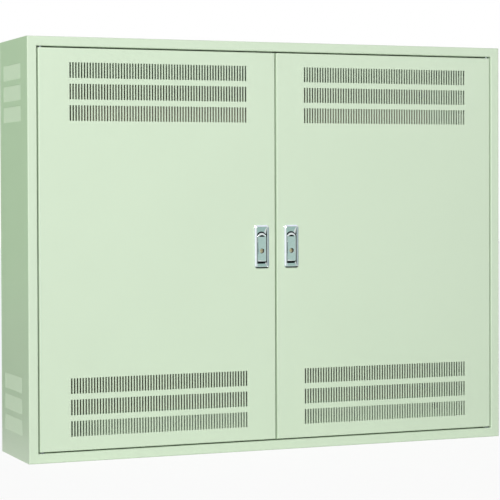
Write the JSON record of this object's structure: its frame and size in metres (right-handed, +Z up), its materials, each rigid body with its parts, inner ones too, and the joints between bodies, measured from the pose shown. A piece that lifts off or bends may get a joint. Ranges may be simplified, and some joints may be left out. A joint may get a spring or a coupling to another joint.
{
  "type": "equipment cabinet",
  "caption": "Wall-mounted sheet steel equipment cabinet with two inset vented doors on concealed pivots, flush lever handles and key-driven lock rods.",
  "frame": {"origin": "centre of the bottom face, halfway across the width and the depth of the body", "axes": "+Z up, the doors face -Y, +X to the right when looking at the doors"},
  "size_m": [1, 0.2045, 0.8],
  "materials": {
    "painted_steel": "satin",
    "plate_paint": "satin",
    "chrome_plated_zinc": "polished",
    "brass_plug": "satin",
    "zinc_plated_steel": "satin",
    "black_rubber": "matte"
  },
  "bodies": {
    "cabinet": {"left_side_panel": "painted_steel", "right_side_panel": "painted_steel", "top_panel": "painted_steel", "bottom_panel": "painted_steel", "back_panel": "painted_steel", "mounting_plate": "plate_paint", "plate_spacers": "zinc_plated_steel", "cable_entry_gasket": "black_rubber", "cable_entry_plate": "painted_steel", "hinge_pins": "zinc_plated_steel", "door_bumpers": "black_rubber"},
    "left_door": {"left_door_panel": "painted_steel", "left_door_stiffeners": "painted_steel", "left_rod_guides": "painted_steel", "left_handle_case": "chrome_plated_zinc", "left_handle_bridges": "zinc_plated_steel", "left_lever_pin": "zinc_plated_steel"},
    "left_lever": {"left_handle_lever": "chrome_plated_zinc"},
    "left_key": {"left_key_plug": "brass_plug", "left_lock_cam": "zinc_plated_steel"},
    "left_upper_rod": {"left_upper_rod": "zinc_plated_steel"},
    "left_lower_rod": {"left_lower_rod": "zinc_plated_steel"},
    "right_door": {"right_door_panel": "painted_steel", "right_door_stiffeners": "painted_steel", "right_rod_guides": "painted_steel", "right_handle_case": "chrome_plated_zinc", "right_handle_bridges": "zinc_plated_steel", "right_lever_pin": "zinc_plated_steel"},
    "right_lever": {"right_handle_lever": "chrome_plated_zinc"},
    "right_key": {"right_key_plug": "brass_plug", "right_lock_cam": "zinc_plated_steel"},
    "right_upper_rod": {"right_upper_rod": "zinc_plated_steel"},
    "right_lower_rod": {"right_lower_rod": "zinc_plated_steel"}
  },
  "joints": [
    {"name": "left_door_swing", "type": "hinge", "parent": "cabinet", "child": "left_door", "pos_m": [-0.4735, -0.094, 0.4], "axis": [0, 0, -1], "range_deg": [0, 100]},
    {"name": "left_lever_pull", "type": "hinge", "parent": "left_door", "child": "left_lever", "pos_m": [-0.03, -0.0985, 0.373], "axis": [1, 0, 0], "range_deg": [0, 40], "stiffness_Nm_per_rad": 0.12, "springref_deg": -8.59},
    {"name": "left_key_turn", "type": "hinge", "parent": "left_door", "child": "left_key", "pos_m": [-0.03, -0.1, 0.3915], "axis": [0, 1, 0], "range_deg": [0, 90]},
    {"name": "left_upper_rod_throw", "type": "slide", "parent": "left_door", "child": "left_upper_rod", "axis": [0, 0, 1], "range_m": [0, 0.012], "stiffness_N_per_m": 2, "springref_m": 0.459},
    {"name": "left_lower_rod_throw", "type": "slide", "parent": "left_door", "child": "left_lower_rod", "axis": [0, 0, -1], "range_m": [0, 0.012], "stiffness_N_per_m": 2, "springref_m": -0.439},
    {"name": "right_door_swing", "type": "hinge", "parent": "cabinet", "child": "right_door", "pos_m": [0.4735, -0.094, 0.4], "axis": [0, 0, 1], "range_deg": [0, 100]},
    {"name": "right_lever_pull", "type": "hinge", "parent": "right_door", "child": "right_lever", "pos_m": [0.033, -0.0985, 0.373], "axis": [1, 0, 0], "range_deg": [0, 40], "stiffness_Nm_per_rad": 0.12, "springref_deg": -8.59},
    {"name": "right_key_turn", "type": "hinge", "parent": "right_door", "child": "right_key", "pos_m": [0.033, -0.1, 0.3915], "axis": [0, 1, 0], "range_deg": [0, 90]},
    {"name": "right_upper_rod_throw", "type": "slide", "parent": "right_door", "child": "right_upper_rod", "axis": [0, 0, 1], "range_m": [0, 0.012], "stiffness_N_per_m": 2, "springref_m": 0.459},
    {"name": "right_lower_rod_throw", "type": "slide", "parent": "right_door", "child": "right_lower_rod", "axis": [0, 0, -1], "range_m": [0, 0.012], "stiffness_N_per_m": 2, "springref_m": -0.439}
  ],
  "couplings": [
    {"joint": "left_lower_rod_throw", "follows": "left_upper_rod_throw", "ratio": 1},
    {"joint": "left_key_turn", "follows": "left_upper_rod_throw", "rad_per_m": 130.9},
    {"joint": "right_lower_rod_throw", "follows": "right_upper_rod_throw", "ratio": 1},
    {"joint": "right_key_turn", "follows": "right_upper_rod_throw", "rad_per_m": 130.9}
  ]
}
